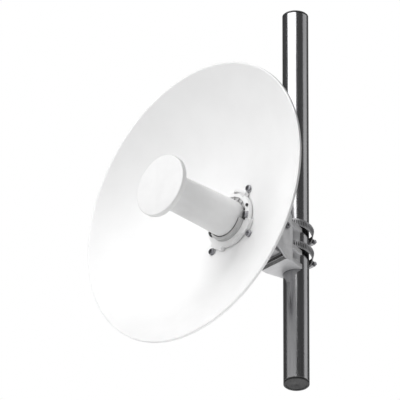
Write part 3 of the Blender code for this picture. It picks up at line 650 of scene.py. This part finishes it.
# Four M6 socket screws hold the reflector to the pads. Each stands on a wedge washer, which
# takes up the bowl's slope, and has a chamfered nut behind the plate.
SCREW_LOW, SCREW_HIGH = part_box("dish_screw_1")
HEAD_RADIUS = (SCREW_HIGH.x - SCREW_LOW.x) / 2
HEAD_TOP = BOTTOM_Y - SCREW_LOW.y
HEAD_HEIGHT = 0.0033
HEAD_BOTTOM = HEAD_TOP - HEAD_HEIGHT
HEAD_ROUND = 0.0009
HEAD_SOCKET = 0.0029
HEAD_SOCKET_DEPTH = 0.0024
SCREW_END_RADIUS = 0.0024
WEDGE_ROUND = 0.0003

bright_steel = blank("bright_steel", 0.25, metallic=1.0)
tint(bright_steel, grain(bright_steel, 0.003), (0.52, 0.52, 0.53), (0.64, 0.64, 0.65))
gloss(bright_steel, grain(bright_steel, 0.001), 0.2, 0.34)
relief(bright_steel, grain(bright_steel, 0.0004), 0.00002, 0.35)

turns = random.Random(7)
for number in range(1, 5):
    screw_node = f"dish_screw_{number}"
    washer_node = f"dish_washer_{number}"
    nut_node = f"dish_nut_{number}"
    low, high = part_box(screw_node)
    middle = (low + high) / 2
    spot = Matrix.Translation((middle.x, BOTTOM_Y, middle.z)) @ FORWARDS
    spin = spot @ Matrix.Rotation(turns.uniform(0, math.tau), 4, "Z")
    head = socket_head(
        HEAD_RADIUS, HEAD_BOTTOM, HEAD_TOP, HEAD_ROUND, HEAD_SOCKET, HEAD_SOCKET_DEPTH, spin
    )
    tail = BOTTOM_Y - high.y
    shank_outline = [(0, HEAD_BOTTOM), (SHANK_RADIUS, HEAD_BOTTOM)]
    shank_outline += [(SHANK_RADIUS, tail + SHANK_TIP), (SCREW_END_RADIUS, tail), (0, tail)]
    shank = turned(shank_outline, spot, steps=32)
    fitted(f"dish_bolt_{number}", [head, shank], worm_steel, "dish", [screw_node])
    wedge = rounded_copy(washer_node, WEDGE_ROUND, sharp=40)
    fitted(f"wedge_washer_{number}", wedge, bright_steel, "dish", [washer_node])
    nut_low, nut_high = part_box(nut_node)
    nut = hex_nut(NUT_RADIUS, NUT_BORE, BOTTOM_Y - nut_high.y, BOTTOM_Y - nut_low.y, spin)
    fitted(f"dish_hex_nut_{number}", nut, bright_steel, "dish", [nut_node])


# The hub is a white moulded flange in front of the reflector, with four lugs round its edge and
# a bore for the locking collar. The two upper lugs have a curved pocket moulded in their faces.
FLANGE_RADIUS = 0.0475
FLANGE_LUG = 0.0530
FLANGE_BACK = 0.0049
FLANGE_FRONT = 0.0125
COLLAR_SEAT = 0.0388
FLANGE_ROUND = 0.0006
LUG_TURNS = (55, 145, 235, 325)
POCKET_TURNS = (55, 145)
LUG_HALF = 15
LUG_FOOT = 17.25
POCKET_INNER = 0.0432
POCKET_OUTER = 0.0474
POCKET_HALF = 17
POCKET_DEPTH = 0.0046
RIM_BEND = 1.2
RIM_INNER = POCKET_INNER - 0.001

moulded_white = blank("moulded_white", 0.4)
tint(moulded_white, grain(moulded_white, 0.02), (0.83, 0.83, 0.83), (0.86, 0.86, 0.86))
gloss(moulded_white, grain(moulded_white, 0.006), 0.33, 0.45)
relief(moulded_white, grain(moulded_white, 0.0006), 0.00003, 0.25)

lugged = []
for turn in LUG_TURNS:
    lugged += arc(FLANGE_LUG, turn - LUG_HALF, turn + LUG_HALF, 9)
    lugged += arc(FLANGE_RADIUS, turn + LUG_FOOT, turn + 90 - LUG_FOOT, 15)
holes = [(arc(COLLAR_SEAT, 0, 355, 72), FLANGE_BACK)]
for turn in POCKET_TURNS:
    pocket = arc(POCKET_OUTER, turn - POCKET_HALF, turn + POCKET_HALF, 9)
    pocket += arc(POCKET_INNER, turn + POCKET_HALF, turn - POCKET_HALF, 9)
    holes.append((pocket, FLANGE_FRONT - POCKET_DEPTH))
flange = plate(lugged, holes, FLANGE_BACK, FLANGE_FRONT, Matrix.Identity(4))
rim = [
    edge
    for edge in flange.edges
    if edge.is_manifold
    and edge.calc_face_angle() > RIM_BEND
    and all(abs(v.co.z - FLANGE_FRONT) < SAME_LEVEL for v in edge.verts)
    and all(v.co.xy.length > RIM_INNER for v in edge.verts)
]
bmesh.ops.bevel(
    flange, geom=rim, offset=FLANGE_ROUND, offset_type="OFFSET", affect="EDGES", segments=2,
    profile=0.5, material=-1,
)
put(flange, FACING)
fitted("lugged_flange", flange, moulded_white, "dish", ["hub_flange"])


# The locking collar sits in the flange. Its floor has short ribs, and its lower half rises to a
# rounded wall with grip ribs. Its grey, darker than the flange, is partly the plastic's own tone
# and partly painted shade from the feed tube. A black ring of painted shade lines that wall round
# the feed tube, where the gap lies in shadow.
COLLAR_OUTER = 0.0387
COLLAR_BORE = 0.0330
COLLAR_FLOOR = 0.0092
COLLAR_TOP = 0.0186
COLLAR_CROWN = 0.0366
COLLAR_ROUND = 0.0010
WALL_START = -152
WALL_END = -22
WALL_INSET = 0.0002
MOULDED_LAP = 0.0004
RIB_PITCH = 18
RIB_OFFSET = 6
RIB_CLEAR = 24
RIB_HALF = 0.0006
RIB_FRONT = 0.0118
RIB_ROUND = 0.0002
GRIP_HALF = 0.0007
GRIP_STEP = 0.0012
GRIP_ROUND = 0.0003
SHADE_RING_INNER = 0.0321
SHADE_RING_OUTER = 0.0337
SHADE_RING_BACK = 0.0150
SHADE_RING_FRONT = 0.0203
SHADE_RING_ROUND = 0.0005
SHADE_RING_BITE = 0.0003
SHADE_RING_SHORT = 1
SWEEP_STEP = 3


def swept(points, start, end, place):
    """A closed outline of (radius, height) points swept through an arc, with closed ends."""
    shape = bmesh.new()
    face = shape.faces.new([shape.verts.new((radius, 0, height)) for radius, height in points])
    first = Matrix.Rotation(math.radians(start), 3, "Z")
    bmesh.ops.rotate(shape, cent=(0, 0, 0), matrix=first, verts=shape.verts)
    bmesh.ops.spin(
        shape, geom=list(face.verts) + list(face.edges) + [face], cent=(0, 0, 0), axis=(0, 0, 1),
        angle=math.radians(end - start), steps=round((end - start) / SWEEP_STEP),
        use_merge=False,
    )
    return put(shape, place)


# Painted shade in part: the collar's grey is darker than the flange's white, both for the
# plastic's own tone and for the shade under the feed tube.
grey_plastic_and_shade = blank("grey_plastic_and_shade", 0.45)
tint(grey_plastic_and_shade, grain(grey_plastic_and_shade, 0.02), (0.52, 0.52, 0.52), (0.57, 0.57, 0.57))
gloss(grey_plastic_and_shade, grain(grey_plastic_and_shade, 0.006), 0.38, 0.5)
relief(grey_plastic_and_shade, grain(grey_plastic_and_shade, 0.0006), 0.00003, 0.3)

floor_ring = [
    (COLLAR_BORE, FLANGE_BACK),
    (COLLAR_OUTER, FLANGE_BACK),
    (COLLAR_OUTER, COLLAR_FLOOR),
    (COLLAR_BORE, COLLAR_FLOOR),
]
wall_outer = COLLAR_OUTER - WALL_INSET
wall_back = COLLAR_FLOOR - MOULDED_LAP
bite = SHADE_RING_OUTER - SHADE_RING_BITE
wall = [(COLLAR_BORE, wall_back), (wall_outer, wall_back), (wall_outer, FLANGE_FRONT)]
wall += arc(COLLAR_ROUND, 0, 60, 5, (COLLAR_CROWN, COLLAR_TOP - COLLAR_ROUND))
wall += [(bite, SHADE_RING_FRONT - SHADE_RING_BITE), (bite, SHADE_RING_BACK), (COLLAR_BORE, SHADE_RING_BACK)]
collar = [turned(floor_ring, FACING, closed=True), swept(wall, WALL_START, WALL_END, FACING)]
grip_low = (COLLAR_CROWN, -GRIP_HALF, FLANGE_FRONT - MOULDED_LAP)
grip_high = (COLLAR_OUTER, GRIP_HALF, COLLAR_TOP - GRIP_STEP)
rib_low = (COLLAR_BORE, -RIB_HALF, wall_back)
rib_high = (COLLAR_OUTER, RIB_HALF, RIB_FRONT)
for turn in range(WALL_START + RIB_OFFSET, WALL_START + RIB_OFFSET + 360, RIB_PITCH):
    place = FACING @ Matrix.Rotation(math.radians(turn), 4, "Z")
    if turn < WALL_END:
        collar.append(bar(grip_low, grip_high, place, GRIP_ROUND))
    elif turn > WALL_END + RIB_CLEAR:
        collar.append(bar(rib_low, rib_high, place, RIB_ROUND))
fitted("locking_collar", collar, grey_plastic_and_shade, "dish", ["hub_ring"])

# Painted shade: a black ring in the gap between the collar's wall and the tube, where that gap
# lies in shadow.
shade_ring_outline = [(SHADE_RING_INNER, SHADE_RING_BACK), (SHADE_RING_OUTER, SHADE_RING_BACK)]
shade_ring_outline += arc(SHADE_RING_ROUND, 0, 90, 4, (SHADE_RING_OUTER - SHADE_RING_ROUND, SHADE_RING_FRONT - SHADE_RING_ROUND))
shade_ring_outline += [(SHADE_RING_INNER, SHADE_RING_FRONT)]
shade_ring = swept(shade_ring_outline, WALL_START + SHADE_RING_SHORT, WALL_END - SHADE_RING_SHORT, FACING)
fitted("collar_shade_ring", shade_ring, moulded_black, "dish")


# A black latch fills the right end of the collar's wall and keeps it from turning. A black block
# at the left end of the wall, a hook beside the right latch and a pin among the floor ribs are
# painted shade: dark shapes where the notch and the gaps lie in shadow. The right latch has a
# steel spring that bears on it from outside, held by a small black screw.
RIGHT_LATCH = ((0.0346, 0.0090), (0.0385, 0.0090), (0.0385, 0.0146), (0.0346, 0.0138))
RIGHT_LATCH_TURNS = (-21.5, -2)
SHADE_HOOK = ((0.0399, 0.0120), (0.0415, 0.0120), (0.0415, 0.0152), (0.0399, 0.0146))
SHADE_HOOK_TURNS = (-24, -12.5)
LEFT_SHADE_BLOCK = ((0.0362, 0.0090), (0.0418, 0.0120), (0.0418, 0.0172), (0.0362, 0.0182))
LEFT_SHADE_BLOCK_TURNS = (-165, -152.5)
SHADE_PIN_LOW = (0.0360, -0.0013, 0.0090)
SHADE_PIN_HIGH = (0.0384, 0.0013, 0.0134)
SHADE_PIN_TURN = 5
SHADE_PIN_ROUND = 0.0004
SPRING = ((0.0412, 0.0121), (0.0466, 0.0121), (0.0466, 0.0142), (0.0412, 0.0150))
SPRING_TURNS = (-19, -5)
LATCH_HEAD_RADIUS = 0.0026
LATCH_HEAD_HEIGHT = 0.002
LATCH_HEAD_ROUND = 0.0006
LATCH_SOCKET = 0.0012
LATCH_SOCKET_DEPTH = 0.0012

at_shade_pin = FACING @ Matrix.Rotation(math.radians(SHADE_PIN_TURN), 4, "Z")
# Painted shade: the hook, the left block and the pin are black shapes that stand for shadowed gaps
# and a notch.
latch_and_shade = [
    swept(RIGHT_LATCH, *RIGHT_LATCH_TURNS, FACING),
    swept(SHADE_HOOK, *SHADE_HOOK_TURNS, FACING),
    swept(LEFT_SHADE_BLOCK, *LEFT_SHADE_BLOCK_TURNS, FACING),
    bar(SHADE_PIN_LOW, SHADE_PIN_HIGH, at_shade_pin, SHADE_PIN_ROUND),
]
fitted("collar_latch_and_shade_blocks", latch_and_shade, moulded_black, "dish", ["hub_latch"])
spring = swept(SPRING, *SPRING_TURNS, FACING)
fitted("latch_spring", spring, dark_zinc, "dish")

low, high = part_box("hub_latch_screw")
middle = (low + high) / 2
spot = Matrix.Translation((middle.x, BOTTOM_Y, middle.z)) @ FORWARDS
bottom = BOTTOM_Y - high.y
head = socket_head(
    LATCH_HEAD_RADIUS, bottom, bottom + LATCH_HEAD_HEIGHT, LATCH_HEAD_ROUND, LATCH_SOCKET,
    LATCH_SOCKET_DEPTH, spot,
)
fitted("latch_screw", head, moulded_black, "dish", ["hub_latch_screw"])


# The feed tube is a white moulding that tapers towards the cap, and its foot stands in the
# collar. Such tubes have a waveguide inside, which isn't modelled: this one is solid.
TUBE_HUB = 0.0322
TUBE_CAP = 0.0292
TUBE_FRONT = 0.1590
TUBE_ROUND = 0.0012
TUBE_EDGE = 0.0005
TAPER_START = COLLAR_TOP + 0.005

tube_outline = [(0, TUBE_FRONT)]
tube_outline += arc(TUBE_ROUND, 90, 0, 5, (TUBE_CAP - TUBE_ROUND, TUBE_FRONT - TUBE_ROUND))
tube_outline += [(TUBE_HUB, TAPER_START), (TUBE_HUB, TUBE_EDGE)]
tube_outline += [(TUBE_HUB - TUBE_EDGE, 0), (0, 0)]
tube = turned(tube_outline, FACING, steps=128)
fitted("feed_tube_moulding", tube, moulded_white, "dish", ["feed_tube"])


# The cap is a flat white moulded disc, glued to the end of the tube. Its rim is rounded in
# front and its face is plain.
CAP_LOW, CAP_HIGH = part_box("feed_cap")
CAP_RADIUS = CAP_HIGH.x
CAP_BACK = BOTTOM_Y - CAP_HIGH.y
CAP_FRONT = BOTTOM_Y - CAP_LOW.y
CAP_ROUND = 0.0022
CAP_BACK_ROUND = 0.0010
CAP_RECESS = 0.0008
RECESS_OUTER = TUBE_CAP + 0.004
RECESS_INNER = TUBE_CAP + 0.003

cap_outline = [(0, CAP_FRONT)]
cap_outline += arc(CAP_ROUND, 90, 0, 8, (CAP_RADIUS - CAP_ROUND, CAP_FRONT - CAP_ROUND))
back_edge = (CAP_RADIUS - CAP_BACK_ROUND, CAP_BACK + CAP_BACK_ROUND)
cap_outline += arc(CAP_BACK_ROUND, 0, -90, 5, back_edge)
recess = CAP_BACK + CAP_RECESS
cap_outline += [(RECESS_OUTER, CAP_BACK), (RECESS_INNER, recess), (0, recess)]
cap = turned(cap_outline, FACING, steps=128)
fitted("feed_cap_disc", cap, moulded_white, "dish", ["feed_cap"])


# The radio sits behind the plate: a round white moulded housing with a port under it, and a
# rear cover with a shallow recess, in which eight short ribs stand like the spokes of a wheel.
RADIO_ROUND = 0.0004
COVER_ROUND = 0.0015
COVER_RIM = 0.006
COVER_SLOPE = 0.0008
COVER_RECESS = 0.0007
SPOKE_NEAR = 0.008
SPOKE_FAR = 0.0205
SPOKE_HALF = 0.0007
SPOKE_BACK = 0.0001
SPOKE_FRONT = 0.0012
SPOKE_ROUND = 0.0003

radio = rounded_copy("radio_housing", RADIO_ROUND, sharp=40, flat=0.5)
fitted("radio_body", radio, moulded_white, "dish", ["radio_housing"])

low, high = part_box("radio_rear_cover")
cover_radius = high.x
cover_front = BOTTOM_Y - low.y
cover_back = BOTTOM_Y - high.y
cover_outline = [(0, cover_front), (cover_radius, cover_front)]
back_edge = (cover_radius - COVER_ROUND, cover_back + COVER_ROUND)
cover_outline += arc(COVER_ROUND, 0, -90, 5, back_edge)
recess = cover_back + COVER_RECESS
cover_outline += [(cover_radius - COVER_RIM, cover_back)]
cover_outline += [(cover_radius - COVER_RIM - COVER_SLOPE, recess), (0, recess)]
cover = [turned(cover_outline, FACING, steps=96)]
for turn in (0, 45, 90, 135):
    place = FACING @ Matrix.Rotation(math.radians(turn), 4, "Z")
    for side in (-1, 1):
        near, far = sorted((side * SPOKE_NEAR, side * SPOKE_FAR))
        spoke_low = (near, -SPOKE_HALF, cover_back + SPOKE_BACK)
        spoke_high = (far, SPOKE_HALF, cover_back + SPOKE_FRONT)
        cover.append(bar(spoke_low, spoke_high, place, SPOKE_ROUND))
fitted("radio_cover", cover, moulded_white, "dish", ["radio_rear_cover"])


# The gland screws into the port: a black moulded nut with sixteen grip ribs and a tapered end
# with an open mouth. The earth screw is a steel pan head on the radio's left side.
GLAND_GRIP = 0.0008
GLAND_TOP_INSET = 0.0012
GLAND_TOP_EDGE = 0.0004
GLAND_SHOULDER = 0.0085
GLAND_TAPER = 0.0112
GLAND_TAPER_INSET = 0.0028
GLAND_LIP_RADIUS = 0.0075
GLAND_LIP = 0.0012
GLAND_END_RADIUS = 0.0062
MOUTH_EDGE_RADIUS = 0.0048
MOUTH_RADIUS = 0.0045
MOUTH_EDGE = 0.0006
MOUTH_TOP = 0.004
GRIP_RIBS = 16
GRIP_RIB_IN = 0.0018
GRIP_RIB_HALF = 0.0009
GRIP_RIB_LOW = 0.0082
GRIP_RIB_HIGH = 0.0006
GRIP_RIB_ROUND = 0.0004
EARTH_ROUND = 0.0008
EARTH_SOCKET = 0.0016
EARTH_SOCKET_DEPTH = 0.0014

low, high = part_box("cable_gland")
gland_radius = high.x
gland_top = high.z
gland_bottom = low.z
barrel = gland_radius - GLAND_GRIP
upright = Matrix.Translation((0, (low.y + high.y) / 2, 0))
gland_outline = [
    (0, gland_top),
    (gland_radius - GLAND_TOP_INSET, gland_top),
    (barrel, gland_top - GLAND_TOP_EDGE),
    (barrel, gland_top - GLAND_SHOULDER),
    (gland_radius - GLAND_TAPER_INSET, gland_top - GLAND_TAPER),
    (GLAND_LIP_RADIUS, gland_bottom + GLAND_LIP),
    (GLAND_END_RADIUS, gland_bottom),
    (MOUTH_EDGE_RADIUS, gland_bottom),
    (MOUTH_RADIUS, gland_bottom + MOUTH_EDGE),
    (MOUTH_RADIUS, gland_top - MOUTH_TOP),
    (0, gland_top - MOUTH_TOP),
]
gland = [turned(gland_outline, upright, steps=72)]
grip_low = (gland_radius - GRIP_RIB_IN, -GRIP_RIB_HALF, gland_top - GRIP_RIB_LOW)
grip_high = (gland_radius, GRIP_RIB_HALF, gland_top - GRIP_RIB_HIGH)
for number in range(GRIP_RIBS):
    place = upright @ Matrix.Rotation(math.tau * number / GRIP_RIBS, 4, "Z")
    gland.append(bar(grip_low, grip_high, place, GRIP_RIB_ROUND))
fitted("gland_nut", gland, moulded_black, "dish", ["cable_gland"])

low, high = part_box("earth_screw")
middle = (low + high) / 2
side = Matrix.Translation((0, middle.y, middle.z)) @ Matrix.Rotation(math.radians(-90), 4, "Y")
radius = (high.y - low.y) / 2
earth = socket_head(radius, -high.x, -low.x, EARTH_ROUND, EARTH_SOCKET, EARTH_SOCKET_DEPTH, side)
fitted("earth_pan_screw", earth, bright_steel, "dish", ["earth_screw"])


# A plain pale floor, far below the antenna, because the camera looks up at the dish from below
# and has to stand above it. It glows a little, so that the undersides stay light.
FLOOR_Z = -60.0
FLOOR_HALF = 400.0
FLOOR_GLOW = 0.15

pale = blank("pale_floor", 0.9)
tint(pale, grain(pale, 3.0), (0.80, 0.80, 0.80), (0.82, 0.82, 0.82))
pale_shader = pale.node_tree.nodes["Principled BSDF"]
pale_shader.inputs["Emission Color"].default_value = (1, 1, 1, 1)
pale_shader.inputs["Emission Strength"].default_value = FLOOR_GLOW
ground = bmesh.new()
bmesh.ops.create_grid(ground, x_segments=1, y_segments=1, size=FLOOR_HALF)
bmesh.ops.translate(ground, vec=(0, 0, FLOOR_Z), verts=ground.verts)
floor_mesh = bpy.data.meshes.new("studio_floor")
ground.to_mesh(floor_mesh)
ground.free()
floor_mesh.materials.append(pale)
studio_floor = bpy.data.objects.new("studio_floor", floor_mesh)
bpy.context.scene.collection.objects.link(studio_floor)


# Studio light: a white backdrop for the camera, a grey room for the soft light and a darker one
# for reflections. The key and the fill light the white surfaces, and the cards show in the metal.
ROOM_GREY = 0.28
ROOM_DARK = 0.10
LIGHT_DISTANCE = 2.4
LIGHT_FORWARD = 0.1

world = bpy.data.worlds.new("studio")
bpy.context.scene.world = world
world.use_nodes = True
tree = world.node_tree
backdrop = tree.nodes["Background"]
backdrop.inputs["Color"].default_value = (1, 1, 1, 1)
ray = tree.nodes.new("ShaderNodeLightPath")
room = tree.nodes.new("ShaderNodeMix")
room.inputs["A"].default_value = ROOM_GREY
room.inputs["B"].default_value = ROOM_DARK
tree.links.new(ray.outputs["Is Glossy Ray"], room.inputs["Factor"])
seen = tree.nodes.new("ShaderNodeMix")
seen.inputs["B"].default_value = 1.0
tree.links.new(ray.outputs["Is Camera Ray"], seen.inputs["Factor"])
tree.links.new(room.outputs["Result"], seen.inputs["A"])
tree.links.new(seen.outputs["Result"], backdrop.inputs["Strength"])


def soft_box(name, azimuth, elevation, width, height, power, card=False):
    """A soft box, azimuth 0 in front of the dish and 90 on its right; a card only reflects."""
    light = bpy.data.lights.new(name, "AREA")
    light.shape = "RECTANGLE"
    light.size = width
    light.size_y = height
    light.energy = power
    lamp = bpy.data.objects.new(name, light)
    bpy.context.scene.collection.objects.link(lamp)
    turn, rise = math.radians(azimuth), math.radians(elevation)
    level = math.cos(rise)
    away = Vector((math.sin(turn) * level, -math.cos(turn) * level, math.sin(rise)))
    lamp.location = Vector((0, -LIGHT_FORWARD, HUB_Z)) + away * LIGHT_DISTANCE
    lamp.rotation_euler = away.to_track_quat("Z", "Y").to_euler()
    lamp.visible_camera = False
    lamp.visible_diffuse = not card
    lamp.visible_glossy = card


soft_box("key", -8, 42, 2.2, 2.6, 36.0)
soft_box("fill", -12, 5, 2.2, 1.6, 26.0)
soft_box("under_fill", 178, -66, 1.8, 1.8, 36.0)
soft_box("front_card", 12, 32, 2.9, 2.6, 70.0, card=True)
soft_box("rear_card", 140, 30, 1.5, 2.2, 7.0, card=True)
soft_box("under_card", -135, -32, 2.6, 2.0, 12.0, card=True)


# The camera stands far off with a long lens, so that the picture has almost no perspective. It
# is 45 degrees round to the right of the dish and 30 below.
LENS = 1500.0
SENSOR = 36.0
PICTURE_WIDTH = 0.6448
NEAR_CLIP = 0.5
FAR_CLIP = 300.0
AIM = Vector((0.0121, -0.2323, 0.2444))
AWAY = Vector((0.6124, -0.6124, -0.5)).normalized()

lens = bpy.data.cameras.new("camera")
lens.lens = LENS
lens.sensor_width = SENSOR
lens.clip_start = NEAR_CLIP
lens.clip_end = FAR_CLIP
camera = bpy.data.objects.new("camera", lens)
bpy.context.scene.collection.objects.link(camera)
camera.location = AIM + AWAY * (LENS / SENSOR * PICTURE_WIDTH)
camera.rotation_euler = AWAY.to_track_quat("Z", "Y").to_euler()
bpy.context.scene.camera = camera
bpy.context.scene.view_settings.view_transform = "Standard"
bpy.context.scene.view_settings.look = "None"
